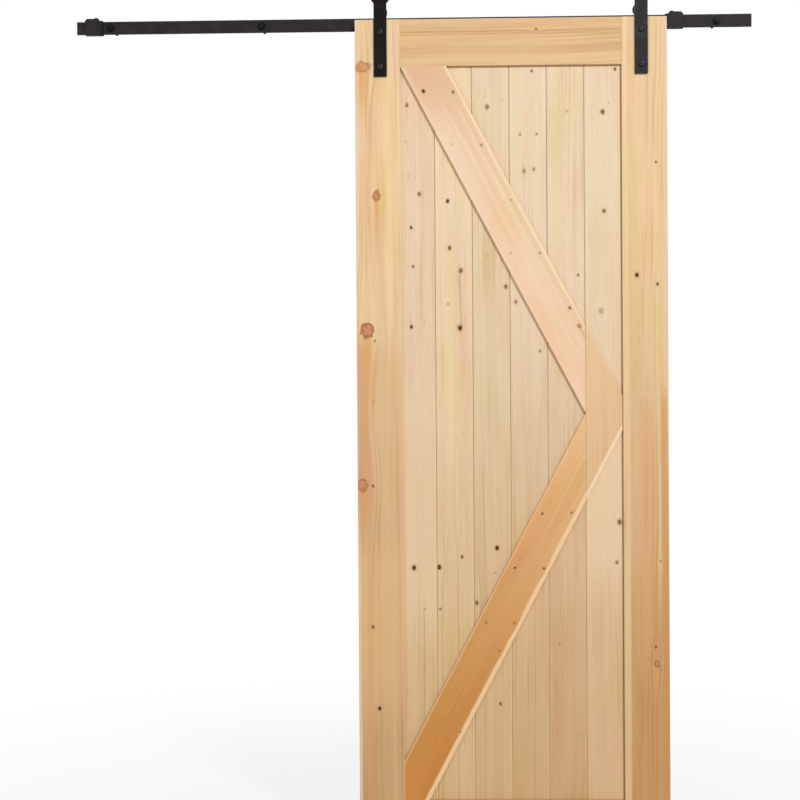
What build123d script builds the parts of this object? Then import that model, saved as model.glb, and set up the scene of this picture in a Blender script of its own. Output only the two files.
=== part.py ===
from build123d import *
import math
import os

os.makedirs("parts", exist_ok=True)

# The frame: X runs along the rail, Y = 0 is the wall's face and the room is at -Y, Z is up.
# The origin is on the wall's face, on the axis of the rail's middle screw.

# Running and assembly clearances.
fit = 0.05
wood_fit = 0.1
running_gap = 0.3

# Leaf: a pine frame, with tongue-and-groove boards held in grooves and two braces on the boards.
leaf_width = 914
leaf_height = 2438
frame_thickness = 36
stile_width = 133
end_rail_height = 138
edge_chamfer = 1.5
board_thickness = 15
board_recess = 11
board_joints = 5
board_first_width = 99
board_joint_gap = 0.4
board_chamfer = 2.5
tongue_length = 7
tongue_thickness = 5
groove_end_gap = 1
panel_groove_depth = 12
panel_side_gap = 0.2

# Braces: planed boards, as thick as the boards' recess, so flush with the frame.
brace_width = 119.4
knee_above_middle = 59
brace_chamfer = 1.2
brace_screw_radius = 1.75
brace_screw_head_radius = 3.5
brace_screw_head_height = 2
brace_screw_grip = 7
block_screw_offset = 60

# Dowels in the four corner joints.
dowel_radius = 5
dowel_length = 90
dowel_first = 60
dowel_pitch = 55

# Rail: a flat steel bar on five wall spacers.
rail_length = 2000
rail_height = 38
rail_thickness = 6
rail_chamfer = 0.8
rail_past_leaf = 255
rail_above_leaf = 14
rail_screw_count = 5
rail_screw_from_end = 102
spacer_length = 30
spacer_radius = 11
lag_radius = 5
lag_thread_radius = 4.8
lag_in_wall = 60
lag_point_length = 10
lag_tip_radius = 1
lag_head_flats = 16
lag_head_height = 6.4
washer_radius = 12.5
washer_thickness = 2

# Stops: saddle blocks over the rail, each with a rubber pad and a clamp screw on top.
stop_length = 46
stop_height = 48.5
stop_above_rail = 8
stop_wall = 7
stop_corner = 6.5
stop_past_leaf = 7.6
stop_left_from_end = 25
pad_length = 7
pad_above_rail = 1.5
clamp_screw_radius = 3
clamp_screw_head_radius = 6
clamp_screw_head_height = 3
clamp_screw_inset = 13

# Hangers: flat steel straps, bolted through the stiles, with a plain round head.
rail_to_leaf = 12
strap_width = 38
strap_thickness = 6
strap_from_opening = 58
strap_down = 168
strap_corner = 3
strap_chamfer = 0.8
strap_head_radius = 30
strap_head_up = 71
strap_neck_fillet = 6
hanger_bolt_radius = 5
hanger_bolt_first = 38
hanger_bolt_pitch = 102
hanger_bolt_past_nut = 3
hanger_bolt_head_radius = 8.75
hanger_bolt_head_height = 5
hanger_bolt_dome = 3.5
socket_flats = 6
socket_depth = 3.5
hanger_washer_radius = 13
nut_flats = 16
nut_height = 8

# Wheels: small grooved nylon rollers on bronze bushes, hidden behind the straps' necks.
wheel_radius = 19.5
wheel_groove_radius = 16
wheel_width = 16
wheel_groove_bottom = 7
wheel_groove_mouth = 9
wheel_edge = 1
bush_radius = 8
bush_past_wheel = 0.2
axle_radius = 5
axle_past_nut = 2
sleeve_radius = 8
axle_washer_thickness = 1.5

# Keepers: nylon rollers on the leaf's back, just under the rail, that stop it from lifting off.
keeper_radius = 14
keeper_gap = 1
keeper_past_rail = 1
keeper_inboard = 31
keeper_screw_radius = 2.5
keeper_screw_head_radius = 5
keeper_screw_head_height = 2.8
keeper_screw_in_leaf = 28

# Floor guide: a steel tee, whose fin stands in a groove under the leaf.
floor_gap = 10
guide_fin_thickness = 5
guide_fin_clearance = 0.5
guide_fin_engagement = 12
guide_groove_depth = 16
guide_length = 30
guide_margin = 2
guide_base_width = 70
guide_base_thickness = 4
guide_screw_radius = 2.1
guide_thread_radius = 1.9
guide_screw_head_radius = 4.2
guide_screw_head_height = 2.4
guide_screw_length = 30
guide_screw_spacing = 48

# Places that follow from the sizes.
rail_back_y = -spacer_length
rail_front_y = rail_back_y - rail_thickness
rail_middle_y = (rail_back_y + rail_front_y) / 2
rail_top_z = rail_height / 2
rail_left_x = -rail_length / 2
rail_right_x = rail_length / 2
leaf_back_y = rail_front_y - rail_to_leaf
leaf_front_y = leaf_back_y - frame_thickness
leaf_middle_y = (leaf_back_y + leaf_front_y) / 2
leaf_right_x = rail_right_x - rail_past_leaf
leaf_left_x = leaf_right_x - leaf_width
leaf_top_z = rail_top_z - rail_above_leaf
leaf_bottom_z = leaf_top_z - leaf_height
opening_left_x = leaf_left_x + stile_width
opening_right_x = leaf_right_x - stile_width
opening_top_z = leaf_top_z - end_rail_height
opening_bottom_z = leaf_bottom_z + end_rail_height
board_front_y = leaf_front_y + board_recess
board_back_y = board_front_y + board_thickness
board_middle_y = (board_front_y + board_back_y) / 2
strap_front_y = leaf_front_y - strap_thickness
strap_x = {"left": opening_left_x - strap_from_opening, "right": opening_right_x + strap_from_opening}
axle_z = rail_top_z + running_gap + wheel_groove_radius
wheel_front_y = rail_middle_y - wheel_width / 2
wheel_back_y = rail_middle_y + wheel_width / 2
bush_front_y = wheel_front_y - bush_past_wheel
bush_back_y = wheel_back_y + bush_past_wheel
stop_front_y = rail_front_y - fit - stop_wall
stop_back_y = rail_back_y + fit + stop_wall
stop_top_z = rail_top_z + stop_above_rail
stop_bottom_z = stop_top_z - stop_height
pad_top_z = rail_top_z + pad_above_rail
stop_right_face_x = leaf_right_x + stop_past_leaf
stop_left_face_x = rail_left_x + stop_left_from_end + stop_length
pad_right_face_x = stop_right_face_x - pad_length
pad_left_face_x = stop_left_face_x + pad_length

# The leaf's travel: a wheel's flange meets the top edge of a stop's rubber pad at each end.
# The floor guide stands where the leaf still covers it at both ends of that travel.
flange_reach = math.sqrt(wheel_radius**2 - (axle_z - pad_top_z) ** 2)
travel_right = pad_right_face_x - flange_reach - 2 * running_gap - strap_x["right"]
travel_left = pad_left_face_x + flange_reach + 2 * running_gap - strap_x["left"]
guide_x = leaf_left_x + travel_right + guide_margin + guide_length / 2


def block(x0, x1, y0, y1, z0, z1):
    """A rectangular solid between two corners."""
    return Pos((x0 + x1) / 2, (y0 + y1) / 2, (z0 + z1) / 2) * Box(x1 - x0, y1 - y0, z1 - z0)


def bar_x(radius, x0, x1, y, z):
    """A round bar along X."""
    return Pos((x0 + x1) / 2, y, z) * Rot(0, 90, 0) * Cylinder(radius, x1 - x0)


def bar_y(radius, y0, y1, x, z):
    """A round bar along Y."""
    return Pos(x, (y0 + y1) / 2, z) * Rot(90, 0, 0) * Cylinder(radius, y1 - y0)


def bar_z(radius, z0, z1, x, y):
    """A round bar along Z."""
    return Pos(x, y, (z0 + z1) / 2) * Cylinder(radius, z1 - z0)


def taper_y(radius0, radius1, y0, y1, x, z):
    """A cone along Y, with its radius at y0 and at y1."""
    return Pos(x, (y0 + y1) / 2, z) * Rot(-90, 0, 0) * Cone(radius0, radius1, y1 - y0)


def slab(outline, y_front, y_back):
    """A flat piece that stands across Y, cut to an outline drawn in X and Z."""
    face = Plane((0, y_back, 0), x_dir=(1, 0, 0), z_dir=(0, -1, 0)) * outline
    return extrude(face, amount=y_back - y_front, dir=(0, -1, 0))


def hexagon_y(flats, y0, y1, x, z):
    """A hexagonal prism along Y, with two of its flats upright."""
    outline = Pos(x, z) * RegularPolygon(flats / 2, 6, major_radius=False, rotation=30)
    return slab(outline, y0, y1)


def turned_y(profile, x, z):
    """A ring turned about an axis along Y: the profile's X is the radius and its Y is the row's Y."""
    return Pos(x, 0, z) * revolve(profile, Axis.Y, 360)


def front_edges(solid):
    """The edges round a piece's foremost flat face."""
    return solid.faces().sort_by(Axis.Y)[0].outer_wire().edges()


def rail_screw_xs():
    """The rail's screws, evenly spaced between its two end holes."""
    first = rail_left_x + rail_screw_from_end
    pitch = (rail_length - 2 * rail_screw_from_end) / (rail_screw_count - 1)
    return [first + pitch * i for i in range(rail_screw_count)]


def board_joint_xs():
    """The V joints between the boards."""
    pitch = (opening_right_x - opening_left_x - board_first_width) / board_joints
    return [opening_left_x + board_first_width + pitch * i for i in range(board_joints)]


def dowel_zs():
    """The heights of the two dowels in each corner joint."""
    top = leaf_top_z - dowel_first
    bottom = leaf_bottom_z + dowel_first
    return [top, top - dowel_pitch, bottom, bottom + dowel_pitch]


def hanger_bolt_zs():
    """The heights of each strap's two bolts."""
    return [leaf_top_z - hanger_bolt_first, leaf_top_z - hanger_bolt_first - hanger_bolt_pitch]


# The braces' knee stands on the last board joint, a little above the opening's middle.
knee_x = board_joint_xs()[-1]
knee_z = (opening_top_z + opening_bottom_z) / 2 + knee_above_middle
brace_slope = (opening_top_z - knee_z) / (knee_x - opening_left_x)
brace_run = brace_width * math.sqrt(1 + 1 / brace_slope**2)
brace_rise = brace_run * brace_slope


def brace_middle_z(x, side):
    """The middle height of a brace at a place along X: side 1 is the upper brace and -1 the lower one."""
    near = knee_z + side * (knee_x - x) * brace_slope
    far = min(max(near + side * brace_rise, opening_bottom_z), opening_top_z)
    return (near + far) / 2


def brace_screw_places():
    """One screw in the middle of each board that a brace crosses, and two in the knee block."""
    edges = [opening_left_x] + board_joint_xs() + [opening_right_x]
    places = []
    for left, right in zip(edges[:-2], edges[1:-1]):
        x = (left + right) / 2
        places += [(x, brace_middle_z(x, 1)), (x, brace_middle_z(x, -1))]
    x = (edges[-2] + edges[-1]) / 2
    return places + [(x, knee_z + block_screw_offset), (x, knee_z - block_screw_offset)]


def guide_groove():
    """The groove for the floor guide, along the leaf's whole bottom edge."""
    half = guide_fin_thickness / 2 + guide_fin_clearance
    y0 = leaf_middle_y - half
    y1 = leaf_middle_y + half
    return block(leaf_left_x, leaf_right_x, y0, y1, leaf_bottom_z, leaf_bottom_z + guide_groove_depth)


def panel_groove():
    """The space of the boards and the grooves that hold them, all round the opening."""
    return block(
        opening_left_x - panel_groove_depth,
        opening_right_x + panel_groove_depth,
        board_front_y - panel_side_gap,
        board_back_y + panel_side_gap,
        opening_bottom_z - panel_groove_depth,
        opening_top_z + panel_groove_depth,
    )


def dowels(clearance):
    """The corner dowels, or with a clearance the holes for them."""
    half = dowel_length / 2 + clearance
    return [
        bar_x(dowel_radius + clearance, x - half, x + half, leaf_middle_y, z)
        for x in (opening_left_x, opening_right_x)
        for z in dowel_zs()
    ]


def stile(side):
    """An upright of the frame, as long as the leaf, drilled for a hanger's bolts."""
    x0 = leaf_left_x if side == "left" else opening_right_x
    plank = block(x0, x0 + stile_width, leaf_front_y, leaf_back_y, leaf_bottom_z, leaf_top_z)
    plank = chamfer(plank.edges().filter_by(Axis.Z), edge_chamfer)
    holes = [bar_y(hanger_bolt_radius + wood_fit, leaf_front_y, leaf_back_y, strap_x[side], z)
             for z in hanger_bolt_zs()]
    keeper_screw = bar_y(
        keeper_screw_radius + fit, leaf_back_y - keeper_screw_in_leaf, leaf_back_y, keeper_x(side), keeper_z)
    return plank - panel_groove() - guide_groove() - dowels(wood_fit) - holes - keeper_screw


def end_rail(z0, z1):
    """A cross piece of the frame, butted and dowelled between the stiles."""
    plank = block(opening_left_x, opening_right_x, leaf_front_y, leaf_back_y, z0, z1)
    plank = chamfer(plank.edges().filter_by(Axis.X), edge_chamfer)
    return plank - panel_groove() - guide_groove() - dowels(wood_fit)


def board(index):
    """A board with a tongue on its left edge, a groove in its right one and eased front corners."""
    xs = board_joint_xs()
    first = index == 0
    last = index == board_joints
    housed = panel_groove_depth - groove_end_gap
    left = opening_left_x - housed if first else xs[index - 1] + board_joint_gap / 2
    right = opening_right_x + housed if last else xs[index] - board_joint_gap / 2
    z0 = opening_bottom_z - housed
    z1 = opening_top_z + housed
    solid = block(left, right, board_front_y, board_back_y, z0, z1)
    fronts = solid.edges().filter_by(Axis.Z).group_by(Axis.Y)[0].sort_by(Axis.X)
    if not first:
        solid = chamfer(fronts[0], board_chamfer)
        half = tongue_thickness / 2
        tip = xs[index - 1] - tongue_length
        solid += block(tip, left, board_middle_y - half, board_middle_y + half, z0, z1)
    if not last:
        front = solid.edges().filter_by(Axis.Z).group_by(Axis.Y)[0].sort_by(Axis.X)[-1]
        solid = chamfer(front, board_chamfer)
        half = tongue_thickness / 2 + wood_fit
        floor = xs[index] - tongue_length - groove_end_gap
        solid -= block(floor, right, board_middle_y - half, board_middle_y + half, z0, z1)
    for x, z in brace_screw_places():
        if left < x < right:
            solid -= brace_screw(x, z, fit)
    return solid


def brace_screw(x, z, clearance):
    """A countersunk screw from the boards' back into a brace, or with a clearance its hole."""
    head = brace_screw_head_radius + clearance
    shank = brace_screw_radius + clearance
    neck_y = board_back_y - brace_screw_head_height
    tip_y = board_front_y - brace_screw_grip - clearance
    return bar_y(shank, tip_y, neck_y, x, z) + taper_y(shank, head, neck_y, board_back_y, x, z)


def brace(outline):
    """A planed piece laid on the boards, with eased front edges and pilot holes for its screws."""
    solid = slab(outline, leaf_front_y, board_front_y)
    solid = chamfer(front_edges(solid), brace_chamfer)
    box = solid.bounding_box()
    for x, z in brace_screw_places():
        if box.min.X < x < box.max.X and box.min.Z < z < box.max.Z:
            solid -= brace_screw(x, z, fit)
    return solid


def brace_upper():
    """The brace from the top left corner to the knee, cut upright on the last board joint."""
    return brace(Polygon(
        (opening_left_x, opening_top_z),
        (knee_x, knee_z),
        (knee_x, knee_z + brace_rise),
        (opening_left_x + brace_run, opening_top_z),
    ))


def brace_lower():
    """The brace from the knee down to the left stile and the bottom rail."""
    foot_z = knee_z - (knee_x - opening_left_x) * brace_slope
    toe_x = knee_x - (knee_z - brace_rise - opening_bottom_z) / brace_slope
    return brace(Polygon(
        (knee_x, knee_z),
        (opening_left_x, foot_z),
        (opening_left_x, opening_bottom_z),
        (toe_x, opening_bottom_z),
        (knee_x, knee_z - brace_rise),
    ))


def brace_block():
    """The piece between the two braces' cut ends and the right stile, which completes the K."""
    nose = brace_rise - (opening_right_x - knee_x) * brace_slope
    return brace(Polygon(
        (knee_x, knee_z + brace_rise),
        (knee_x, knee_z - brace_rise),
        (opening_right_x, knee_z - nose),
        (opening_right_x, knee_z + nose),
    ))


def rail():
    """The flat bar, with a hole for each wall screw."""
    bar = block(rail_left_x, rail_right_x, rail_front_y, rail_back_y, -rail_top_z, rail_top_z)
    bar = chamfer(front_edges(bar), rail_chamfer)
    return bar - [bar_y(lag_radius + fit, rail_front_y, rail_back_y, x, 0) for x in rail_screw_xs()]


def wall_spacer(x):
    """A tube that holds the rail off the wall."""
    return bar_y(spacer_radius, rail_back_y, 0, x, 0) - bar_y(lag_radius + fit, rail_back_y, 0, x, 0)


def lag_washer(x):
    """A flat washer under a wall screw's head."""
    y0 = rail_front_y - washer_thickness
    return bar_y(washer_radius, y0, rail_front_y, x, 0) - bar_y(lag_radius + fit, y0, rail_front_y, x, 0)


def lag_screw(x):
    """A hexagon-head wood screw through washer, rail and spacer, with its threaded end in the wall."""
    head_y = rail_front_y - washer_thickness
    head = hexagon_y(lag_head_flats, head_y - lag_head_height, head_y, x, 0)
    shank = bar_y(lag_radius, head_y, 0, x, 0)
    thread = bar_y(lag_thread_radius, 0, lag_in_wall, x, 0)
    point = taper_y(lag_thread_radius, lag_tip_radius, lag_in_wall, lag_in_wall + lag_point_length, x, 0)
    return head + shank + thread + point


def rail_slot():
    """The room for the rail in a piece that straddles it."""
    y0 = rail_front_y - fit
    y1 = rail_back_y + fit
    return block(rail_left_x, rail_right_x, y0, y1, stop_bottom_z, rail_top_z + fit)


def stop(face_x, side):
    """A saddle block over the rail, with its face towards the wheels: side is 1 right and -1 left."""
    far_x = face_x + side * stop_length
    x0 = min(face_x, far_x)
    x1 = max(face_x, far_x)
    solid = block(x0, x1, stop_front_y, stop_back_y, stop_bottom_z, stop_top_z)
    solid = chamfer(solid.edges().filter_by(Axis.Y).group_by(Axis.Z)[-1], stop_corner)
    screw_x = face_x + side * clamp_screw_inset
    hole = bar_z(clamp_screw_radius + fit, rail_top_z, stop_top_z, screw_x, rail_middle_y)
    return solid - rail_slot() - hole


def stop_pad(face_x, side):
    """The rubber pad on a stop's face, which also straddles the rail."""
    tip_x = face_x - side * pad_length
    x0 = min(face_x, tip_x)
    x1 = max(face_x, tip_x)
    solid = block(x0, x1, stop_front_y, stop_back_y, stop_bottom_z, pad_top_z)
    return solid - rail_slot()


def clamp_screw(face_x, side):
    """The low-headed screw on a stop's top, whose end bears on the rail."""
    x = face_x + side * clamp_screw_inset
    head = bar_z(clamp_screw_head_radius, stop_top_z, stop_top_z + clamp_screw_head_height, x, rail_middle_y)
    return head + bar_z(clamp_screw_radius, rail_top_z, stop_top_z, x, rail_middle_y)


def hanger(side):
    """A strap with a round head, holes for its two bolts and a hole for the axle in its neck."""
    x = strap_x[side]
    bottom = leaf_top_z - strap_down
    top = leaf_top_z + strap_head_up
    strip = Pos(x, (bottom + top) / 2) * Rectangle(strap_width, top - bottom)
    strip = fillet(strip.vertices().group_by(Axis.Y)[0], strap_corner)
    outline = strip + Pos(x, top) * Circle(strap_head_radius)
    neck_z = top - math.sqrt(strap_head_radius**2 - (strap_width / 2) ** 2)
    corners = [v for v in outline.vertices() if abs(v.Y - neck_z) < 0.01]
    outline = fillet(corners, strap_neck_fillet)
    solid = slab(outline, strap_front_y, leaf_front_y)
    solid = chamfer(front_edges(solid), strap_chamfer)
    holes = [bar_y(hanger_bolt_radius + fit, strap_front_y, leaf_front_y, x, z) for z in hanger_bolt_zs()]
    return solid - holes - bar_y(axle_radius + fit, strap_front_y, leaf_front_y, x, axle_z)


def hanger_bolt(x, z):
    """A button-head bolt with a hexagon socket, through strap and stile."""
    head_y = strap_front_y - hanger_bolt_head_height
    end_y = leaf_back_y + washer_thickness + nut_height + hanger_bolt_past_nut
    head = bar_y(hanger_bolt_head_radius, head_y, strap_front_y, x, z)
    head = fillet(front_edges(head), hanger_bolt_dome)
    socket = hexagon_y(socket_flats, head_y, head_y + socket_depth, x, z)
    return head + bar_y(hanger_bolt_radius, strap_front_y, end_y, x, z) - socket


def hanger_washer(x, z):
    """A wide washer under a bolt's nut, on the leaf's back."""
    y1 = leaf_back_y + washer_thickness
    hole = bar_y(hanger_bolt_radius + fit, leaf_back_y, y1, x, z)
    return bar_y(hanger_washer_radius, leaf_back_y, y1, x, z) - hole


def nut(y0, x, z, bore_radius):
    """A hexagon nut on a bolt or an axle of the given radius."""
    hole = bar_y(bore_radius + fit, y0, y0 + nut_height, x, z)
    return hexagon_y(nut_flats, y0, y0 + nut_height, x, z) - hole


axle_washer_y = bush_back_y + running_gap
axle_nut_y = axle_washer_y + axle_washer_thickness


def axle(side):
    """A pin set flush in the strap's neck, which reaches over the leaf's top to the wheel."""
    return bar_y(axle_radius, strap_front_y, axle_nut_y + nut_height + axle_past_nut, strap_x[side], axle_z)


def axle_sleeve(side):
    """The spacer tube on the axle, between the strap and the wheel's bush."""
    end_y = bush_front_y - running_gap
    tube = bar_y(sleeve_radius, leaf_front_y, end_y, strap_x[side], axle_z)
    return tube - bar_y(axle_radius + fit, leaf_front_y, end_y, strap_x[side], axle_z)


def axle_washer(side):
    """The washer between the wheel's bush and the axle's nut."""
    disc = bar_y(sleeve_radius, axle_washer_y, axle_nut_y, strap_x[side], axle_z)
    return disc - bar_y(axle_radius + fit, axle_washer_y, axle_nut_y, strap_x[side], axle_z)


def wheel(side):
    """A turned roller, with a groove for the rail in its rim and a bore for its bush."""
    bore = bush_radius + fit
    bottom = wheel_groove_bottom / 2
    mouth = wheel_groove_mouth / 2
    profile = Polygon(
        (bore, wheel_front_y),
        (wheel_radius - wheel_edge, wheel_front_y),
        (wheel_radius, wheel_front_y + wheel_edge),
        (wheel_radius, rail_middle_y - mouth),
        (wheel_groove_radius, rail_middle_y - bottom),
        (wheel_groove_radius, rail_middle_y + bottom),
        (wheel_radius, rail_middle_y + mouth),
        (wheel_radius, wheel_back_y - wheel_edge),
        (wheel_radius - wheel_edge, wheel_back_y),
        (bore, wheel_back_y),
    )
    return turned_y(profile, strap_x[side], axle_z)


def wheel_bush(side):
    """A bronze bush pressed into the wheel, which turns on the axle with a running clearance."""
    tube = bar_y(bush_radius, bush_front_y, bush_back_y, strap_x[side], axle_z)
    return tube - bar_y(axle_radius + fit, bush_front_y, bush_back_y, strap_x[side], axle_z)


keeper_z = -rail_top_z - keeper_gap - keeper_radius
keeper_back_y = rail_back_y + keeper_past_rail


def keeper_x(side):
    """A keeper's place, inboard of its wheel."""
    return strap_x[side] + (keeper_inboard if side == "left" else -keeper_inboard)


def keeper_screw(side, clearance):
    """The countersunk screw of a keeper, or with a clearance its hole."""
    shank = keeper_screw_radius + clearance
    neck_y = keeper_back_y - keeper_screw_head_height
    x = keeper_x(side)
    head = taper_y(shank, keeper_screw_head_radius + clearance, neck_y, keeper_back_y, x, keeper_z)
    return bar_y(shank, leaf_back_y - keeper_screw_in_leaf, neck_y, x, keeper_z) + head


def keeper(side):
    """A nylon roller screwed to the leaf's back, just under the rail."""
    solid = bar_y(keeper_radius, leaf_back_y, keeper_back_y, keeper_x(side), keeper_z)
    return solid - keeper_screw(side, fit)


guide_base_z = leaf_bottom_z - floor_gap
guide_top_z = guide_base_z + guide_base_thickness


def guide_screw(side, clearance):
    """A countersunk floor screw of the guide, or with a clearance its hole."""
    y = leaf_middle_y + side * guide_screw_spacing / 2
    shank = guide_screw_radius + clearance
    head_radius = guide_screw_head_radius + clearance
    neck_z = guide_top_z - guide_screw_head_height
    head = Pos(guide_x, y, (neck_z + guide_top_z) / 2) * Cone(shank, head_radius, guide_screw_head_height)
    thread = bar_z(guide_thread_radius, guide_top_z - guide_screw_length, guide_base_z, guide_x, y)
    return head + bar_z(shank, guide_base_z, neck_z, guide_x, y) + thread


def floor_guide():
    """A base plate on the floor with an upright fin, under the leaf over its whole travel."""
    x0 = guide_x - guide_length / 2
    x1 = guide_x + guide_length / 2
    base_half = guide_base_width / 2
    fin_half = guide_fin_thickness / 2
    base = block(x0, x1, leaf_middle_y - base_half, leaf_middle_y + base_half, guide_base_z, guide_top_z)
    fin_top_z = leaf_bottom_z + guide_fin_engagement
    fin = block(x0, x1, leaf_middle_y - fin_half, leaf_middle_y + fin_half, guide_top_z, fin_top_z)
    return base + fin - guide_screw(1, fit) - guide_screw(-1, fit)


def save(name, *solids):
    """Writes one piece, or one group of like pieces, to its own file."""
    shape = solids[0] if len(solids) == 1 else Compound(list(solids))
    export_step(shape, f"parts/{name}.step")


save("rail", rail())
save("wall_spacers", *[wall_spacer(x) for x in rail_screw_xs()])
save("lag_screws", *[lag_screw(x) for x in rail_screw_xs()])
save("lag_washers", *[lag_washer(x) for x in rail_screw_xs()])
save("stop_left", stop(stop_left_face_x, -1))
save("stop_right", stop(stop_right_face_x, 1))
save("stop_pad_left", stop_pad(stop_left_face_x, -1))
save("stop_pad_right", stop_pad(stop_right_face_x, 1))
save("clamp_screws", clamp_screw(stop_left_face_x, -1), clamp_screw(stop_right_face_x, 1))
save("floor_guide", floor_guide())
save("floor_guide_screws", guide_screw(1, 0), guide_screw(-1, 0))

save("top_rail", end_rail(opening_top_z, leaf_top_z))
save("bottom_rail", end_rail(leaf_bottom_z, opening_bottom_z))
save("frame_dowels", *dowels(0))
for number in range(board_joints + 1):
    save(f"board_{number + 1}", board(number))
save("brace_upper", brace_upper())
save("brace_lower", brace_lower())
save("brace_block", brace_block())
save("brace_screws", *[brace_screw(x, z, 0) for x, z in brace_screw_places()])
bolt_places = [(x, z) for x in strap_x.values() for z in hanger_bolt_zs()]
save("hanger_bolts", *[hanger_bolt(x, z) for x, z in bolt_places])
save("hanger_washers", *[hanger_washer(x, z) for x, z in bolt_places])
save("hanger_nuts", *[nut(leaf_back_y + washer_thickness, x, z, hanger_bolt_radius) for x, z in bolt_places])
save("axle_nuts", *[nut(axle_nut_y, x, axle_z, axle_radius) for x in strap_x.values()])
save("axle_washers", *[axle_washer(side) for side in strap_x])
save("keeper_screws", *[keeper_screw(side, 0) for side in strap_x])

for side in strap_x:
    save(f"stile_{side}", stile(side))
    save(f"hanger_{side}", hanger(side))
    save(f"axle_{side}", axle(side))
    save(f"axle_sleeve_{side}", axle_sleeve(side))
    save(f"keeper_{side}", keeper(side))
    save(f"wheel_{side}", wheel(side))
    save(f"wheel_bush_{side}", wheel_bush(side))

print("leaf x", leaf_left_x, leaf_right_x, "z", leaf_bottom_z, leaf_top_z)
print("wheels x", strap_x, "z", axle_z, "travel", travel_left, travel_right)
print("guide x", guide_x, "base z", guide_base_z, "screw xs", rail_screw_xs())
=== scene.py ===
import math
import bmesh
import bpy
from mathutils import Matrix, Vector


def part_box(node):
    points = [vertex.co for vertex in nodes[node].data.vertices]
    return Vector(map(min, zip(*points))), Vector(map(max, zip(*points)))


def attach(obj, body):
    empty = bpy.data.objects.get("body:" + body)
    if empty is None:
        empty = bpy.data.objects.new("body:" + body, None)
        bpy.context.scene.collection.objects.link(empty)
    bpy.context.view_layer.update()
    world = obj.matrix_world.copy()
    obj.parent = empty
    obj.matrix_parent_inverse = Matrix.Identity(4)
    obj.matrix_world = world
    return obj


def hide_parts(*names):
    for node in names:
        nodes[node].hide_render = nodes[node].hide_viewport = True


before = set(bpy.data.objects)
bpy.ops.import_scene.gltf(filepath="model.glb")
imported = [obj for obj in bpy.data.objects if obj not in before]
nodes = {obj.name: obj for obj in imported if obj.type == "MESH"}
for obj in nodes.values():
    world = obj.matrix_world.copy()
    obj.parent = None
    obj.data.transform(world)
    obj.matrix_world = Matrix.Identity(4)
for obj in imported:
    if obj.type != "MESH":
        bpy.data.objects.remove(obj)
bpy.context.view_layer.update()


# Stiles.
# The leaf's two uprights: planed knotty pine planks as long as the leaf, with the top and bottom
# rails dowelled between them. Their grain runs in long streaks that bow round the knots.
class Socket:
    """A node's output, which takes part in shader maths."""

    def __init__(self, recipe, link):
        self.recipe = recipe
        self.link = link

    def maths(self, operation, *values):
        return self.recipe.node("ShaderNodeMath", {"operation": operation}, values)

    def __add__(self, other):
        return self.maths("ADD", self, other)

    def __radd__(self, other):
        return self.maths("ADD", other, self)

    def __sub__(self, other):
        return self.maths("SUBTRACT", self, other)

    def __rsub__(self, other):
        return self.maths("SUBTRACT", other, self)

    def __mul__(self, other):
        return self.maths("MULTIPLY", self, other)

    def __rmul__(self, other):
        return self.maths("MULTIPLY", other, self)

    def __pow__(self, other):
        return self.maths("POWER", self, other)

    def __abs__(self):
        return self.maths("ABSOLUTE", self)


class Recipe:
    """The nodes of a material or of the world."""

    def __init__(self, tree):
        self.tree = tree

    def node(self, kind, settings=None, inputs=(), output=0):
        """Adds a node: its settings first, then the values or links of its sockets."""
        made = self.tree.nodes.new(kind)
        for key, value in (settings or {}).items():
            setattr(made, key, value)
        pairs = inputs.items() if isinstance(inputs, dict) else enumerate(inputs)
        for key, value in pairs:
            if isinstance(value, Socket):
                self.tree.links.new(value.link, made.inputs[key])
            else:
                made.inputs[key].default_value = value
        return Socket(self, made.outputs[output])

    def larger(self, first, second):
        """The larger of two values."""
        return self.node("ShaderNodeMath", {"operation": "MAXIMUM"}, [first, second])

    def show(self, shader):
        """Links a shader to the output."""
        end = next(node for node in self.tree.nodes if "Surface" in node.inputs)
        self.tree.links.new(shader.link, end.inputs["Surface"])


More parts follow.
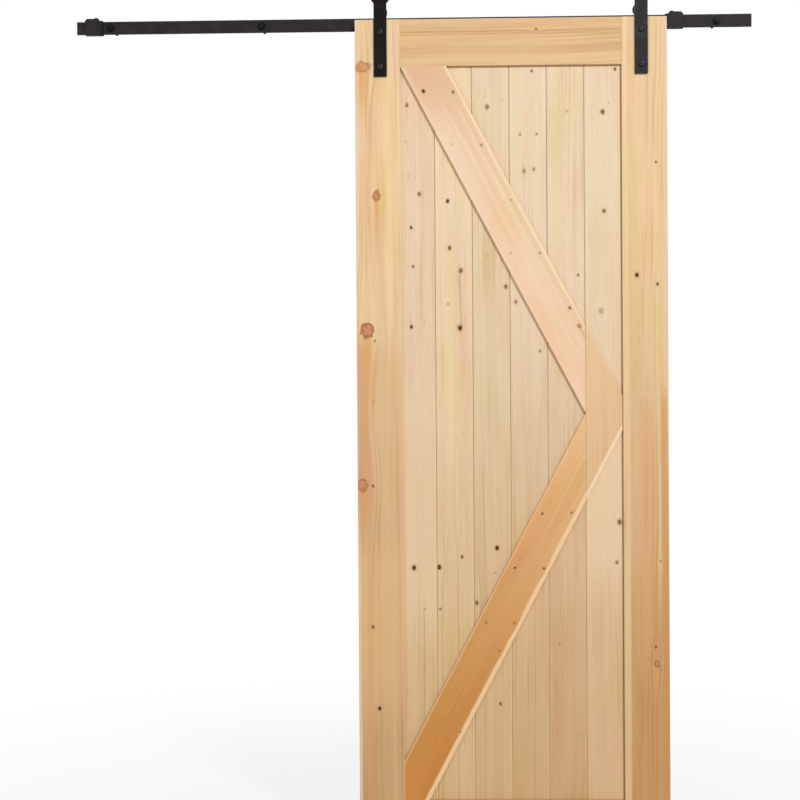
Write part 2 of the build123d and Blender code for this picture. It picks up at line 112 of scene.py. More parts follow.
class Finish(Recipe):
    """A material with one shader."""

    def __init__(self, name, roughness, metallic=0.0, specular=0.5):
        self.data = bpy.data.materials.new(name)
        self.data.use_nodes = True
        super().__init__(self.data.node_tree)
        self.shader = self.tree.nodes["Principled BSDF"]
        self.shader.inputs["Roughness"].default_value = roughness
        self.shader.inputs["Metallic"].default_value = metallic
        self.shader.inputs["Specular IOR Level"].default_value = specular

    def feed(self, name, value):
        """Links a value that changes over the surface to the shader."""
        self.tree.links.new(value.link, self.shader.inputs[name])

    def place(self):
        """The point on the piece, in metres, in the door's own frame."""
        return self.node("ShaderNodeTexCoord", output="Object")

    def parts(self, vector):
        """The three numbers of a vector."""
        split = self.node("ShaderNodeSeparateXYZ", inputs=[vector]).link.node
        return [Socket(self, number) for number in split.outputs]

    def vector(self, x, y, z):
        """A vector made of three numbers."""
        return self.node("ShaderNodeCombineXYZ", inputs=[x, y, z])

    def blend(self, share, first, second, way="MIX"):
        """A colour between two others. A Mix node's colours are its sockets 6 and 7, and come
        out of its socket 2."""
        settings = {"data_type": "RGBA", "blend_type": way}
        return self.node("ShaderNodeMix", settings, {0: share, 6: first, 7: second}, output=2)

    def tint(self, share, first, second):
        """A colour multiplied by another."""
        return self.blend(share, first, second, "MULTIPLY")

    def noise(self, point, scale, detail=2.0, roughness=0.5):
        """Cloudy noise from 0 to 1."""
        values = {"Vector": point, "Scale": scale, "Detail": detail, "Roughness": roughness}
        return self.node("ShaderNodeTexNoise", {"noise_dimensions": "3D"}, values)

    def fraction(self, value):
        """What a value has past the last whole number."""
        return self.node("ShaderNodeMath", {"operation": "FRACT"}, [value])

    def span(self, value, low, high, start=0.0, end=1.0):
        """A value carried smoothly from one range to another, and held at its ends."""
        settings = {"interpolation_type": "SMOOTHSTEP"}
        return self.node("ShaderNodeMapRange", settings, [value, low, high, start, end])

    def bump(self, height, distance, strength=1.0):
        """Relief in the shader's normal."""
        values = {"Strength": strength, "Distance": distance, "Height": height}
        self.feed("Normal", self.node("ShaderNodeBump", inputs=values))


def screen(red, green, blue):
    """A colour given as it looks on a screen, from 0 to 255, as the shader needs it."""

    def one(value):
        share = value / 255
        return share / 12.92 if share <= 0.04045 else ((share + 0.055) / 1.055) ** 2.4

    return (one(red), one(green), one(blue), 1.0)


def finish_node(name, material):
    """Gives a carried-over solid its material in every slot."""
    piece = nodes[name]
    piece.data.materials.clear()
    piece.data.materials.append(material)


leaf_left, leaf_front, leaf_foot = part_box("stile_left")[0]
leaf_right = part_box("stile_right")[1][0]
leaf_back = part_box("stile_left")[1][1]
leaf_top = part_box("stile_left")[1][2]
opening_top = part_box("top_rail")[0][2]
# The pieces darken from the leaf's top to its foot: painted shade, standing for light falling off.
foot_shade_end = leaf_foot + 0.15
top_light_start = leaf_top - 0.35
tongue = 0.007
ring_width = 0.0047
pith_waver = 0.06
streak_waver = 0.012
streak_start_fade = 0.05
streak_end_fade = 0.12
grain_relief = 0.00015
joint_reach = 0.0008
back_joint = (0.0004, 0.0011)
corner_reach = (0.006, 0.002)
dead_knot_tall = 1.25
knot_red = screen(196, 130, 90)
knot_rim = screen(146, 82, 46)
knot_halo = screen(188, 140, 88)
knot_bark = screen(62, 30, 4)
# Dust on back joints; painted shade in V joints, under the top rail and at pieces' ends.
joint_dust_and_shade = screen(150, 112, 68)
# A pale wood tone, painted also on edges as a highlight.
pitch = screen(218, 156, 98)
sapwood_and_highlight = screen(242, 218, 180)
early_wood = (1.035, 1.03, 1.03, 1.0)
late_wood = (0.78, 0.68, 0.54, 1.0)
rosy_cloud = (1.0, 0.9, 0.86, 1.0)
olive_cloud = (0.95, 0.97, 0.8, 1.0)
pitch_duct = (0.8, 0.66, 0.48, 1.0)
sawn_edge = (0.9, 0.74, 0.54, 1.0)


def pine(name, node, top, foot, heart, seed, turn=0.0, figure=1.0,
         dead_knots=(), live_knots=(), streaks=(), joint=None, ends=(), sap_and_highlight_edge=None):
    """Planed pine for one node. top and foot are its tones at the leaf's top and foot: the step
    from one to the other is painted shade, as light falls off towards the foot. heart is the pith's
    place beside and behind it and its drift, in metres. seed sets its grain apart, turn is its slope
    from upright in degrees, and figure the strength of its grain.
    Every other length is in millimetres. A knot is its place right of and below the leaf's top
    left corner, its half width, how dark it is, and how tall if it's a live one. A streak is its
    place across the piece, where it starts and ends below the leaf's top if it does, its half
    width, colour and strength. joint is the depth at which a board's front joint darkens with
    painted shade and some dirt. ends are the width and strength of the painted shade at the left
    and the right end, where the piece meets the next. sap_and_highlight_edge is a pale edge painted as a
    highlight: its slope in degrees, a place on it, and its half width."""
    wood = Finish(name, roughness=0.6, specular=0.2)
    slope = math.radians(turn)
    spots = [vertex.co for vertex in nodes[node].data.vertices]
    sides = [spot.x * math.cos(slope) - spot.z * math.sin(slope) for spot in spots]
    ups = [spot.x * math.sin(slope) + spot.z * math.cos(slope) for spot in spots]
    side, up = (min(sides) + max(sides)) / 2, (min(ups) + max(ups)) / 2
    middle = (
        side * math.cos(slope) + up * math.sin(slope),
        (leaf_front + leaf_back) / 2,
        up * math.cos(slope) - side * math.sin(slope),
    )
    point = wood.place()
    point_x, point_y, height = wood.parts(point)
    shift = (-middle[0], -middle[1], -middle[2])
    moved = wood.node("ShaderNodeVectorMath", {"operation": "ADD"}, [point, shift])
    values = {"Vector": moved, "Rotation": (0.0, -slope, 0.0)}
    across, depth, length = wood.parts(wood.node("ShaderNodeMapping", inputs=values))
    ragged = wood.noise(point, 190.0, 4.0, 0.65) - 0.5
    wander = wood.noise(point, 75.0, 3.0, 0.55) - 0.5

    # A knot is a cut branch, and the grain bends round it. A dead one is dark and ragged, a
    # live one reddish with a darker rim and a pitch streak below.
    push, dead, halo, live, rim, coils, tail = 0.0, 0.0, 0.0, 0.0, 0.0, 0.0, 0.0
    for knot in (*dead_knots, *live_knots):
        right, down, half, dark, tall = (*knot, dead_knot_tall)[:5]
        x = leaf_left + right / 1000 - middle[0]
        z = leaf_top - down / 1000 - middle[2]
        side = x * math.cos(slope) - z * math.sin(slope)
        up = x * math.sin(slope) + z * math.cos(slope)
        beside = (across - side) * (1000 / half)
        above = (length - up) * (1000 / half / tall)
        gap = (beside * beside + above * above) ** 0.5
        if knot in dead_knots:
            dead = wood.larger(dead, wood.span(gap + ragged * 1.2, 0.6, 1.05, dark, 0.0))
            halo = wood.larger(halo, wood.span(gap, 0.9, 2.0, dark, 0.0))
        else:
            rough = gap + wander * 1.5 + ragged * 0.35
            whole = wood.span(rough, 0.75, 1.25, dark, 0.0)
            coil = wood.fraction(rough * 3.2)
            live = wood.larger(live, whole)
            coils = wood.larger(coils, whole * wood.span(abs(coil - 0.5), 0.1, 0.5))
            rim = wood.larger(rim, whole * wood.span(abs(rough - 0.85), 0.05, 0.45, 1.0, 0.0))
            below = wood.span(abs(beside), 0.2, 1.0, 1.0, 0.0) * wood.span(above, -14.0, -1.0)
            tail = wood.larger(tail, below * wood.span(above, 0.0, 1.2, 1.0, 0.0))
        reach = (beside * beside + above * above * 0.12) ** 0.5
        push = (across - side) * wood.span(reach, 0.5, 4.0, 0.6, 0.0) + push

    # Growth rings are the distance from the pith, which wavers along the tree.
    pith_beside, pith_behind, drift = heart
    waver = wood.noise(wood.vector(across, depth, length * 0.14 + seed), 5.0, 3.0, 0.55) - 0.5
    beside = across - push - pith_beside + length * drift + waver * pith_waver
    behind = depth - pith_behind
    radius = (beside * beside + behind * behind) ** 0.5
    phase = wood.fraction(radius * (1 / ring_width))
    late = wood.span(phase, 0.3, 0.88) * wood.span(phase, 0.9, 1.0, 1.0, 0.0)
    year = wood.noise(wood.vector(radius, 0.0, length * 0.04 + seed), 60.0, 1.0)
    late = late * wood.span(year, 0.38, 0.72, 0.15, 1.0)

    # Fibres run along the piece in hair lines, broader streaks and cloudy bands.
    grain = wood.vector(across - push, depth, length * 0.02 + seed)
    hair = wood.noise(grain, 1100.0, 2.0, 0.6) - 0.5
    streak = wood.noise(grain, 150.0, 2.0, 0.5) - 0.5
    band = wood.noise(wood.vector(across, depth, length * 0.1 + seed * 2), 22.0, 2.0) - 0.5
    cloud = wood.noise(wood.vector(across, depth, length * 0.35 + seed * 3), 8.0, 2.0)
    warmth = wood.noise(wood.vector(across, depth, length * 0.16 - seed), 14.0, 2.0)
    duct = wood.noise(wood.vector(across - push, depth, length * 0.05 - seed), 330.0, 1.0)

    share = (late * 0.5 + streak * 0.7 + hair * 0.5 + band * 0.8) * figure
    # Painted shade: the tone runs from the top tone to the foot tone towards the leaf's foot.
    painted_falloff = wood.span(height, foot_shade_end, top_light_start)
    tone = wood.blend(painted_falloff, screen(*foot), screen(*top))
    early_tone = wood.tint(1.0, tone, early_wood)
    late_tone = wood.tint(1.0, tone, late_wood)
    colour = wood.blend(wood.span(share, -0.3, 0.95), early_tone, late_tone)
    colour = wood.tint(wood.span(warmth, 0.5, 0.72, 0.0, 0.8), colour, rosy_cloud)
    colour = wood.tint(wood.span(cloud, 0.5, 0.7, 0.0, 0.8), colour, olive_cloud)
    colour = wood.tint(wood.span(duct, 0.68, 0.8, 0.0, 0.7), colour, pitch_duct)
    for place, start, end, half, shade, strength in streaks:
        edge = abs(across - push - place / 1000 + waver * streak_waver)
        mask = wood.span(edge, half / 1600, half / 750, strength, 0.0)
        if start:
            first, last = start / 1000 - streak_start_fade, start / 1000 + streak_start_fade
            mask = mask * wood.span(leaf_top - height, first, last)
        if end:
            first, last = end / 1000 - streak_end_fade, end / 1000 + streak_end_fade
            mask = mask * wood.span(leaf_top - height, first, last, 1.0, 0.0)
        colour = wood.blend(mask, colour, shade)
    if sap_and_highlight_edge:
        degrees, right, down, half = sap_and_highlight_edge
        lean = math.radians(degrees)
        aside = point_x - (leaf_left + right / 1000)
        above = height - (leaf_top - down / 1000)
        edge = abs(aside * math.cos(lean) - above * math.sin(lean))
        colour = wood.blend(wood.span(edge, half / 1500, half / 900, 0.8, 0.0), colour, sapwood_and_highlight)
    if live_knots:
        swirl = wood.noise(wood.vector(across * 1.5, depth, length), 110.0, 3.0)
        colour = wood.blend(tail * 0.65, colour, pitch)
        colour = wood.blend(live * (0.5 + swirl * 0.5), colour, knot_red)
        colour = wood.blend(coils * 0.25, colour, knot_rim)
        colour = wood.blend(rim * (0.2 + swirl * 0.9), colour, knot_rim)
    if dead_knots:
        colour = wood.blend(halo * 0.4, colour, knot_halo)
        colour = wood.blend(dead * 0.95, colour, knot_bark)

    # Every front edge is eased with a plane and painted paler: partly the fresh wood, partly a painted
    # highlight. Painted shade, with a little dirt, darkens the depth of the boards' V joints; painted
    # shade alone darkens the corner under the top rail and the ends of a piece where it meets the next.
    # Dust and finish darken the tight joints on the boards' back. The sides of a sloping or lying piece
    # are sawn.
    facing = wood.parts(wood.node("ShaderNodeTexCoord", output="Normal"))[1]
    eased_edge_highlight = wood.span(facing, -0.93, -0.85) * wood.span(facing, -0.5, -0.35, 1.0, 0.0)
    colour = wood.blend(eased_edge_highlight * 0.5, colour, sapwood_and_highlight)
    facing_front = wood.span(facing, -0.3, -0.1, 1.0, 0.0)
    left_end = point_x - min(spot.x for spot in spots)
    right_end = max(spot.x for spot in spots) - point_x
    if joint:
        joint_depth = leaf_front + joint / 1000
        deep = wood.span(point_y, joint_depth, joint_depth + joint_reach)
        corner = wood.span(height, opening_top - corner_reach[0], opening_top - corner_reach[1])
        dust_and_shade = wood.larger(deep * 0.6, corner * 0.55) * facing_front
        edge = wood.larger(
            wood.span(left_end, tongue + back_joint[0], tongue + back_joint[1], 0.8, 0.0),
            wood.span(right_end, back_joint[0], back_joint[1], 0.8, 0.0),
        )
        dust_and_shade = wood.larger(dust_and_shade, edge * wood.span(facing, 0.5, 0.9))
        colour = wood.blend(dust_and_shade, colour, joint_dust_and_shade)
    for end, (wide, strength) in zip((left_end, right_end), ends):
        dust_and_shade = wood.span(end, wide / 2000, wide / 1000, strength, 0.0)
        colour = wood.blend(dust_and_shade * facing_front, colour, joint_dust_and_shade)
    if turn:
        sawn = wood.span(abs(facing), 0.2, 0.4, 0.7, 0.0)
        colour = wood.tint(sawn, colour, sawn_edge)

    wood.feed("Base Color", colour)
    wood.feed("Roughness", 0.54 + late * 0.08 + hair * 0.12)
    wood.bump(late * 0.5 + hair, grain_relief, 0.5)
    finish_node(node, wood.data)


pine(
    "pine_stile_left", "stile_left", (234, 202, 160), (198, 161, 118),
    heart=(0.02, 0.09, 0.012), seed=3.1,
    dead_knots=[
        (45, 1371, 4, 0.8), (42, 1787, 5, 0.8), (60, 2028, 6, 1.0), (54, 944, 4, 0.5),
        (47, 1123, 2.5, 0.4),
    ],
    live_knots=[
        (23, 138, 24, 0.6, 0.66), (61, 517, 11, 0.9, 1.5), (32, 913, 20, 1.0, 1.1),
        (12, 1368, 17, 0.8, 1.2),
    ],
    streaks=[
        (-62, None, None, 5, screen(236, 208, 184), 0.6),
        (30, None, 1000, 12, screen(238, 210, 160), 0.5),
        (0, 960, 1480, 80, screen(206, 162, 116), 0.25),
        (0, 1560, 2020, 80, screen(224, 182, 130), 0.5),
        (-50, 940, 1480, 17, screen(206, 146, 104), 0.55),
        (-20, 980, 1700, 3, screen(206, 148, 102), 0.5),
        (-30, 1500, None, 8, screen(206, 150, 104), 0.4),
        (38, 900, None, 6, screen(214, 178, 122), 0.5),
    ],
)
pine(
    "pine_stile_right", "stile_right", (233, 203, 162), (196, 151, 101),
    heart=(-0.03, 0.11, -0.01), seed=8.4,
    dead_knots=[
        (880, 426, 3.5, 0.8), (823, 756, 6.5, 1.0), (883, 783, 4.5, 0.9), (888, 1595, 3, 0.6),
        (873, 1848, 4.5, 0.7), (776, 1480, 6, 0.8),
    ],
    live_knots=[(876, 1899, 9, 1.0, 1.2)],
    streaks=[
        (-56, None, None, 10, screen(238, 210, 164), 0.5),
        (60, None, 1100, 7, screen(236, 196, 160), 0.6),
        (52, 1100, None, 10, screen(200, 140, 80), 0.5),
        (28, 1750, None, 4, screen(196, 134, 80), 0.4),
        (0, 1150, 1900, 16, screen(222, 164, 112), 0.5),
        (38, None, 1700, 5, screen(230, 200, 140), 0.45),
    ],
)


# Top and bottom rails.
# The frame's two cross pieces, of the same pine, butted between the stiles and dowelled to them.
# Their grain runs sideways, which makes the butt joints show.
pine(
    "pine_top_rail", "top_rail", (225, 188, 144), (225, 188, 144),
    turn=90, heart=(0.035, 0.07, 0.03), seed=15.2, figure=1.1, dead_knots=[(532, 33, 3.5, 0.7)],
    streaks=[
        (-32, None, None, 2.5, screen(196, 146, 96), 0.6),
        (-24, None, None, 3, screen(206, 154, 104), 0.5),
        (22, None, None, 12, screen(214, 170, 120), 0.5),
        (52, None, None, 8, screen(226, 194, 142), 0.5),
    ],
)
# The bottom rail is given the stiles' foot tone, the same painted shade.
pine(
    "pine_bottom_rail", "bottom_rail", (200, 156, 108), (200, 156, 108),
    turn=90, heart=(0.03, 0.08, 0.02), seed=21.7, dead_knots=[(300, 2380, 4, 0.8), (560, 2350, 3, 0.6)],
)


# Boards.
# Six tongue-and-groove boards stand in the frame's grooves, each from another plank, so their
# tones differ a little. They are paler than the frame, with many small dark knots.
board_joint = 12.4
thin_dark = screen(176, 142, 100)
pine(
    "pine_board_1", "board_1", (232, 207, 178), (211, 179, 135),
    heart=(0.03, 0.07, 0.006), seed=31.0, figure=0.8, joint=board_joint,
    dead_knots=[
        (152, 250, 5.5, 0.7), (147, 358, 3, 0.35), (187, 512, 6, 0.75), (162, 611, 4.5, 0.95),
        (167, 725, 4, 0.8), (161, 903, 5, 0.95), (164, 1614, 7, 1.0), (196, 1736, 3, 0.4),
    ],
    streaks=[
        (0, 1080, 1800, 70, screen(232, 206, 170), 0.45), (18, 1740, None, 1.2, thin_dark, 0.7),
        (4, 1600, None, 1.0, thin_dark, 0.5),
    ],
)
pine(
    "pine_board_2", "board_2", (236, 212, 180), (212, 181, 139),
    heart=(-0.05, 0.06, -0.006), seed=38.3, figure=0.8, joint=board_joint,
    dead_knots=[
        (270, 533, 5.5, 1.0), (275, 671, 5.5, 0.85), (308, 738, 7, 0.75), (304, 907, 7.5, 1.0),
        (269, 836, 3.5, 0.5), (238, 1612, 7, 1.0), (306, 1582, 5, 0.8), (241, 1736, 4.5, 0.6),
    ],
    streaks=[
        (24, 745, 900, 2.5, screen(192, 166, 120), 0.8), (-8, 640, 1300, 12, screen(230, 208, 152), 0.5),
        (10, 1560, None, 1.2, thin_dark, 0.6), (-38, 1650, None, 1.2, thin_dark, 0.6),
    ],
)
pine(
    "pine_board_3", "board_3", (229, 209, 177), (208, 177, 134),
    heart=(0.01, 0.09, 0.004), seed=45.6, figure=0.75, joint=board_joint,
    dead_knots=[
        (388, 258, 7, 0.65), (440, 786, 6, 0.75), (409, 1556, 7, 1.0), (404, 1630, 3, 0.4),
        (348, 1718, 6.5, 0.75), (417, 2017, 5, 0.7), (432, 238, 2.5, 0.4),
    ],
    streaks=[(-22, 1300, None, 1.2, thin_dark, 0.5), (30, None, 700, 10, screen(232, 198, 166), 0.5)],
)
pine(
    "pine_board_4", "board_4", (233, 212, 184), (206, 173, 129),
    heart=(-0.03, 0.05, 0.01), seed=52.9, figure=0.75, joint=board_joint,
    dead_knots=[
        (519, 154, 4, 0.8), (484, 340, 4.5, 0.45), (533, 339, 4.5, 0.45), (495, 447, 6, 0.5),
        (524, 442, 5, 0.5), (469, 832, 6, 0.6), (539, 977, 4, 0.6),
    ],
    streaks=[(-30, None, 480, 12, screen(228, 210, 162), 0.5), (16, 1500, None, 1.2, thin_dark, 0.5)],
)
pine(
    "pine_board_5", "board_5", (234, 211, 184), (204, 169, 126),
    heart=(0.04, 0.08, -0.008), seed=60.2, figure=0.75, joint=board_joint,
    dead_knots=[(622, 273, 4, 0.35), (652, 754, 4, 0.7), (592, 1840, 3, 0.5), (624, 945, 2.5, 0.5)],
    streaks=[(-22, None, 800, 10, screen(230, 208, 156), 0.5)],
)
pine(
    "pine_board_6", "board_6", (232, 212, 182), (213, 180, 140),
    heart=(-0.02, 0.1, 0.005), seed=67.5, figure=0.55, joint=board_joint,
    dead_knots=[
        (763, 151, 4.5, 0.8), (726, 276, 7, 0.8), (745, 250, 2.5, 0.35), (729, 567, 6, 0.75),
        (719, 860, 8, 0.4), (770, 1481, 7, 0.8), (761, 1600, 5, 0.7),
    ],
    # Its right end is darkened with painted shade beside the right stile.
    streaks=[(0, 1250, 1660, 70, screen(234, 206, 170), 0.6)], ends=[(0.1, 0.0), (18.0, 0.9)],
)


# Braces.
# Two long braces and the block that fills their knee make the K, screwed on through the boards.
# All are planed pine, warmer than the boards, and the lower brace is the darkest.
brace_slope = 27.8
pine(
    "pine_brace_upper", "brace_upper", (240, 212, 182), (230, 187, 140),
    turn=-brace_slope, heart=(0.02, 0.07, 0.01), seed=2.4, figure=0.55,
    dead_knots=[
        (201, 212, 5.5, 1.0), (288, 215, 4.5, 0.7), (370, 371, 4, 0.5), (283, 368, 3, 0.3),
        (456, 533, 3, 0.4), (454, 688, 3, 0.4), (539, 689, 3.5, 0.5), (626, 851, 4.5, 0.8),
    ],
    live_knots=[(653, 904, 5, 1.0, 1.3)],
    streaks=[
        # The thin pale streak along the right edge is a painted highlight.
        (0, None, 270, 60, screen(222, 174, 134), 0.75), (57, None, None, 3.5, sapwood_and_highlight, 0.75),
        (44, None, None, 8, screen(224, 190, 146), 0.5),
    ],
)
pine(
    "pine_brace_lower", "brace_lower", (255, 216, 170), (197, 137, 68),
    turn=brace_slope, heart=(0.02, 0.07, 0.01), seed=6.6, figure=0.5,
    dead_knots=[
        (628, 1452, 3.5, 0.7), (543, 1455, 4, 0.8), (461, 1614, 4, 0.8), (546, 1616, 4, 0.8),
        (376, 1775, 5, 0.4), (458, 1777, 5, 0.4), (414, 1859, 4, 0.5), (297, 2098, 3, 0.5),
    ],
    streaks=[
        # The pale streak along the lower right edge is a painted highlight.
        (54, None, None, 7, screen(240, 205, 158), 0.85),
        (-57, None, None, 3, screen(232, 194, 148), 0.4),
    ],
)
pine(
    "pine_brace_block", "brace_block", (235, 202, 162), (210, 168, 120),
    # Its ends are darkened with painted shade where it meets the braces and the stile.
    heart=(0.0, 0.08, 0.004), seed=11.8, figure=0.5, ends=[(1.6, 0.6), (4.0, 0.9)],
    # The pale lower edge is a painted highlight, carried on from the lower brace.
    sap_and_highlight_edge=(brace_slope, 719, 1322, 9),
)


# Dowels.
# Eight turned beech pins, two in each corner joint of the leaf's frame. They are glued in and out
# of sight in the closed joints.
beech = Finish("beech", roughness=0.6)
along_dowel = {"Vector": beech.place(), "Scale": (0.08, 1.0, 1.0)}
beech_fleck = beech.noise(beech.node("ShaderNodeMapping", inputs=along_dowel), 800.0)
beech.feed("Base Color", beech.blend(beech_fleck, screen(216, 176, 134), screen(184, 140, 98)))
beech.bump(beech_fleck, 0.0001, 0.4)
finish_node("frame_dowels", beech.data)


# Rail, wall spacers and stops.
# A flat steel bar stands off the wall on spacers, with a clamped stop at each end. They and the
# floor guide have a matt black powder coat, faintly pebbled and greyer where it has been rubbed.
def powder_coat(name, colour, rubbed, specular, roughness=0.5):
    """A matt black coat on steel, with a fine pebbled skin."""
    coat = Finish(name, roughness=roughness, specular=specular)
    pebble = coat.noise(coat.place(), 1500.0, 2.0, 0.6)
    wear = coat.noise(coat.place(), 35.0, 4.0, 0.65)
    coat.feed("Base Color", coat.blend(coat.span(wear, 0.42, 0.7), colour, rubbed))
    coat.feed("Roughness", roughness - 0.06 + wear * 0.12 + (pebble - 0.5) * 0.1)
    coat.bump(pebble, 0.0001, 0.4)
    return coat.data


rail_coat = powder_coat("rail_coat", screen(33, 28, 33), screen(42, 37, 41), 0.14)
for name in ("rail", "wall_spacers", "stop_left", "stop_right", "clamp_screws", "floor_guide"):
    finish_node(name, rail_coat)


# Wall screws and washers.
# Five hexagon-head steel screws in dull black oxide, each with a washer, hold the rail through its
# spacers. Their heads are forged and their threads rolled, where the solids are plain pins.
dull_oxide = powder_coat("dull_oxide", screen(12, 9, 11), screen(20, 17, 19), 0.12, 0.4)
finish_node("lag_washers", dull_oxide)
screw_low, screw_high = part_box("lag_screws")
head_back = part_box("lag_washers")[0][1]
wall_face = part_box("wall_spacers")[1][1]
head_flats = 6
head_radius = 0.016 / math.sqrt(3)
head_middle = (screw_low[1] + head_back) / 2
head_bevel = 0.0009
shank_radius = 0.005
shank_sides = 32
core_radius = 0.0034
core_sides = 24
point_length = 0.010
point_start = screw_high[1] - point_length
tip_radius = 0.0004
thread_pitch = 0.0036
thread_start = wall_face + thread_pitch / 2
thread_turns = int((point_start + point_length / 2 - thread_start) / thread_pitch)
thread_steps = 16
thread_fade = 0.004
root_radius = core_radius - 0.0002
root_half = 0.0009
crest_radius = 0.0047
crest_half = 0.0001


def wall_screw(build, x):
    """Adds a screw along Y to the mesh being built: head, shank, core, point and thread."""

    def bar(start, end, first, last, sides):
        middle = Matrix.Translation((x, (start + end) / 2, 0.0))
        return bmesh.ops.create_cone(
            build, cap_ends=True, segments=sides, radius1=first, radius2=last,
            depth=end - start, matrix=middle @ Matrix.Rotation(-math.pi / 2, 4, "X"),
        )["verts"]

    head = bar(screw_low[1], head_back, head_radius, head_radius, head_flats)
    rim = {edge for vert in head for edge in vert.link_edges}
    rim = [edge for edge in rim if all(vert.co.y < head_middle for vert in edge.verts)]
    bmesh.ops.bevel(
        build, geom=rim, offset=head_bevel, segments=1, profile=0.5, affect="EDGES", material=-1,
    )
    bar(head_back, wall_face, shank_radius, shank_radius, shank_sides)
    bar(wall_face, point_start, core_radius, core_radius, core_sides)
    bar(point_start, screw_high[1], core_radius, tip_radius, core_sides)

    # The thread is its own cross section, spun and carried along, with its ends sunk in the core.
    outline = [
        (root_radius, -root_half), (crest_radius, -crest_half),
        (crest_radius, crest_half), (root_radius, root_half),
    ]
    known = set(build.verts)
    first = [build.verts.new((x + radius, thread_start + along, 0.0)) for radius, along in outline]
    edges = [build.edges.new((first[i - 1], first[i])) for i in range(len(first))]
    spun = bmesh.ops.spin(
        build, geom=first + edges, cent=(x, 0.0, 0.0), axis=(0.0, 1.0, 0.0),
        dvec=(0.0, thread_pitch / thread_steps, 0.0), angle=thread_turns * 2 * math.pi,
        steps=thread_turns * thread_steps,
    )
    last = [item for item in spun["geom_last"] if isinstance(item, bmesh.types.BMEdge)]
    bmesh.ops.edgeloop_fill(build, edges=edges)
    bmesh.ops.edgeloop_fill(build, edges=last)
    thread_end = thread_start + thread_turns * thread_pitch
    for vert in set(build.verts) - known:
        radius = math.hypot(vert.co.x - x, vert.co.z)
        room = min(vert.co.y - thread_start, thread_end - vert.co.y) / thread_fade
        rise = (radius - root_radius) * max(0.0, min(1.0, room))
        taper = max(0.0, vert.co.y - point_start) / point_length * core_radius
        share = (root_radius + rise - taper) / radius
        vert.co.x = x + (vert.co.x - x) * share
        vert.co.z *= share


screw_build = bmesh.new()
rail_low, rail_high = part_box("rail")
screw_count = 5
screw_inset = 0.102
screw_gap = (rail_high[0] - rail_low[0] - 2 * screw_inset) / (screw_count - 1)
for index in range(screw_count):
    wall_screw(screw_build, rail_low[0] + screw_inset + index * screw_gap)
bmesh.ops.recalc_face_normals(screw_build, faces=screw_build.faces)
screw_mesh = bpy.data.meshes.new("wall_screws")
screw_build.to_mesh(screw_mesh)
screw_build.free()
screw_mesh.polygons.foreach_set("use_smooth", [True] * len(screw_mesh.polygons))
screw_mesh.set_sharp_from_angle(angle=math.radians(35))
screw_mesh.materials.append(dull_oxide)
wall_screws = bpy.data.objects.new("wall_screws", screw_mesh)
bpy.context.scene.collection.objects.link(wall_screws)
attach(wall_screws, "rail")
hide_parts("lag_screws")


# Pads.
# A pad of moulded black rubber on the inner face of each stop takes the wheel's knock. It is dull,
# with a faint grey bloom.
rubber = Finish("rubber", roughness=0.85, specular=0.2)
rubber_bloom = rubber.noise(rubber.place(), 240.0, 3.0)
rubber.feed("Base Color", rubber.blend(rubber_bloom, screen(14, 12, 12), screen(30, 27, 27)))
rubber.bump(rubber_bloom, 0.0001, 0.3)
finish_node("stop_pad_left", rubber.data)
finish_node("stop_pad_right", rubber.data)


# Hangers and their bolts.
# Each strap is a powder-coated flat steel bar with a round head, held by two socket bolts through
# the stile. Both straps wear one coat in two copies: a shaded one, blacker than the rail, on the left
# and a lit one, paler and greener, on the right, as painted shade and painted light. The bolts'
# black oxide shines a little.
strap_left_shaded_coat = powder_coat("strap_left_shaded_coat", screen(24, 19, 21), screen(30, 25, 27), 0.06)
strap_right_lit_coat = powder_coat("strap_right_lit_coat", screen(36, 36, 37), screen(48, 53, 50), 0.12)
finish_node("hanger_left", strap_left_shaded_coat)
finish_node("hanger_right", strap_right_lit_coat)
oxide = powder_coat("black_oxide", screen(18, 16, 17), screen(26, 24, 25), 0.35, 0.3)
for name in ("hanger_bolts", "hanger_washers", "hanger_nuts"):
    finish_node(name, oxide)


# Axles, spacer tubes, nuts and washers.
# A steel axle, set flush in each strap's neck, carries a wheel over the leaf's top. A tube keeps the
# wheel off the strap, and a washer and a nut hold it on from behind.
# Each axle and tube takes its own strap's coat: painted shade on the left, painted light on the right.
for side, coat in (("left", strap_left_shaded_coat), ("right", strap_right_lit_coat)):
    finish_node(f"axle_{side}", coat)
    finish_node(f"axle_sleeve_{side}", coat)
finish_node("axle_nuts", oxide)
finish_node("axle_washers", oxide)


# Wheels, bushes and keepers.
# The grooved wheels run on the rail, each with a bronze bush pressed in, and the keepers on the
# leaf's back stop it from lifting off. Both are turned from black nylon.
nylon = Finish("nylon", roughness=0.42, specular=0.4)
nylon_mottle = nylon.noise(nylon.place(), 260.0, 2.0)
nylon.feed("Base Color", nylon.blend(nylon_mottle, screen(30, 29, 29), screen(42, 41, 41)))
nylon.feed("Roughness", 0.36 + nylon_mottle * 0.14)
bronze = Finish("bronze", roughness=0.3, metallic=1.0)
bronze_turning = bronze.noise(bronze.place(), 500.0, 2.0)
bronze.feed("Base Color", bronze.blend(bronze_turning, screen(198, 152, 94), screen(168, 120, 68)))
bronze.feed("Roughness", 0.24 + bronze_turning * 0.16)
for side in ("left", "right"):
    finish_node(f"wheel_{side}", nylon.data)
    finish_node(f"keeper_{side}", nylon.data)
    finish_node(f"wheel_bush_{side}", bronze.data)


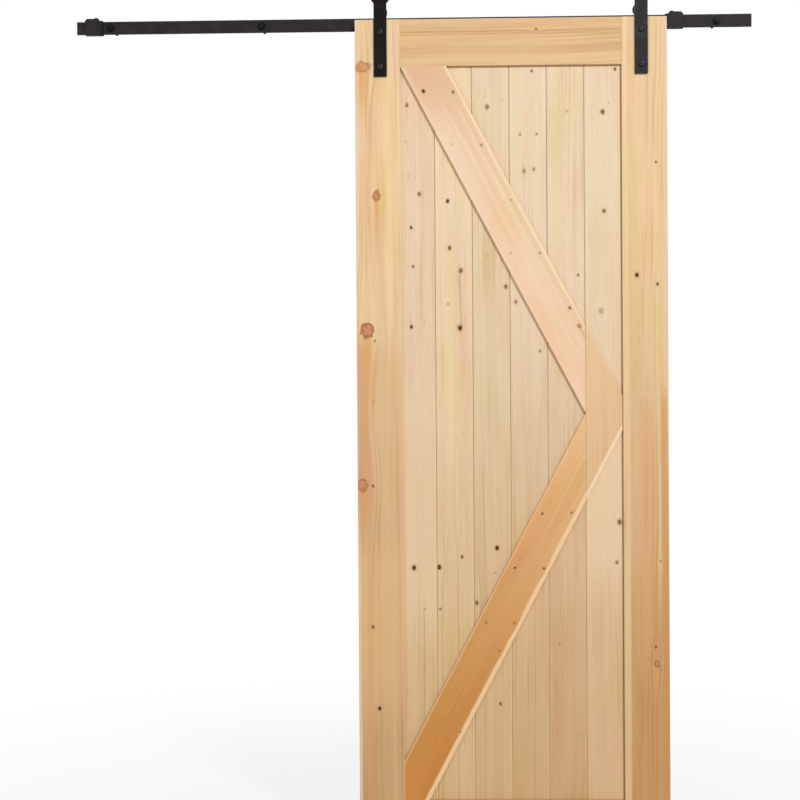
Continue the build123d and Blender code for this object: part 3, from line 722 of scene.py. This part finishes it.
# Wood screws.
# Zinc-plated countersunk screws: twelve through the boards into the braces, one in each keeper
# and two in the floor guide.
zinc = Finish("zinc", roughness=0.34, metallic=1.0)
zinc_dullness = zinc.noise(zinc.place(), 350.0, 2.0)
zinc.feed("Base Color", zinc.blend(zinc_dullness, screen(198, 200, 202), screen(158, 161, 166)))
zinc.feed("Roughness", 0.26 + zinc_dullness * 0.2)
for name in ("brace_screws", "keeper_screws", "floor_guide_screws"):
    finish_node(name, zinc.data)


# Floor.
# A painted pale grey studio floor just under the leaf. It glows white to the camera, and keeps a
# little of its own shade and shadow near the leaf.
floor_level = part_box("floor_guide")[0][2]
floor_size = 16.0
floor_grey = (0.85, 0.85, 0.85, 1.0)
pure_white = (1.0, 1.0, 1.0, 1.0)
shade_near = 0.6
shade_far = 3.0
bpy.ops.mesh.primitive_plane_add(size=floor_size, location=(0.0, 0.0, floor_level))
floor = bpy.context.object
floor.name = "studio_floor"
floor_paint = Finish("floor_paint", roughness=0.9, specular=0.0)
floor_paint.shader.inputs["Base Color"].default_value = floor_grey
floor_x, floor_y = floor_paint.parts(floor_paint.place())[:2]
far = (floor_x * floor_x + floor_y * floor_y) ** 0.5
to_camera = floor_paint.node("ShaderNodeLightPath", output="Is Camera Ray")
seen = to_camera * floor_paint.span(far, shade_near, shade_far, 0.8, 1.0)
glow = floor_paint.node("ShaderNodeEmission", inputs={"Color": pure_white})
own = Socket(floor_paint, floor_paint.shader.outputs["BSDF"])
floor_paint.show(floor_paint.node("ShaderNodeMixShader", inputs=[seen, own, glow]))
floor.data.materials.append(floor_paint.data)


# Light.
# A plain white surround, one soft lamp high on the right, a weak one on the left and one behind.
# The surround lights the leaf weakly, but shows pure white to the camera and in gloss.
surround_strength = 0.3
world = bpy.data.worlds.new("studio")
bpy.context.scene.world = world
world.use_nodes = True
surround = Recipe(world.node_tree)
dim = surround.tree.nodes["Background"]
dim.inputs["Color"].default_value = pure_white
dim.inputs["Strength"].default_value = surround_strength
bright = surround.node("ShaderNodeBackground", inputs={"Color": pure_white})
shown = surround.larger(
    surround.node("ShaderNodeLightPath", output="Is Camera Ray"),
    surround.node("ShaderNodeLightPath", output="Is Glossy Ray"),
)
shaders = [shown, Socket(surround, dim.outputs["Background"]), bright]
surround.show(surround.node("ShaderNodeMixShader", inputs=shaders))
leaf_middle = Vector(((leaf_left + leaf_right) / 2, leaf_front, (leaf_top + leaf_foot) / 2))


def soft_lamp(name, place, size, watts):
    """A square soft lamp that faces the leaf's middle, size metres wide."""
    light = bpy.data.lights.new(name, "AREA")
    light.size = size
    light.energy = watts
    lamp = bpy.data.objects.new(name, light)
    bpy.context.scene.collection.objects.link(lamp)
    lamp.location = place
    lamp.rotation_euler = (leaf_middle - Vector(place)).to_track_quat("-Z", "Y").to_euler()


soft_lamp("key_lamp", (5.7, -12.0, 6.6), 1.9, 1365.0)
soft_lamp("fill_lamp", (-3.6, -5.0, -1.2), 3.0, 50.0)
soft_lamp("back_lamp", (-3.5, 6.5, 1.0), 3.0, 220.0)


# Camera.
# It stands five metres in front of the leaf's left part, a little above its middle and almost
# level, so the leaf runs out of the picture's foot as in the photograph.
camera_place = (0.1009, -5.084, -1.0577)
camera_turn = 0.02873
camera_dip = 0.01104
camera_tilt = 0.00675
camera_data = bpy.data.cameras.new("camera")
camera_data.sensor_width = 36.0
camera_data.lens = 76.465
camera = bpy.data.objects.new("camera", camera_data)
bpy.context.scene.collection.objects.link(camera)
turned = Matrix.Rotation(camera_turn, 4, "Z")
dipped = Matrix.Rotation(math.pi / 2 - camera_dip, 4, "X")
tilted = Matrix.Rotation(-camera_tilt, 4, "Z")
camera.matrix_world = Matrix.Translation(camera_place) @ turned @ dipped @ tilted
bpy.context.scene.camera = camera
bpy.context.scene.view_settings.view_transform = "Standard"
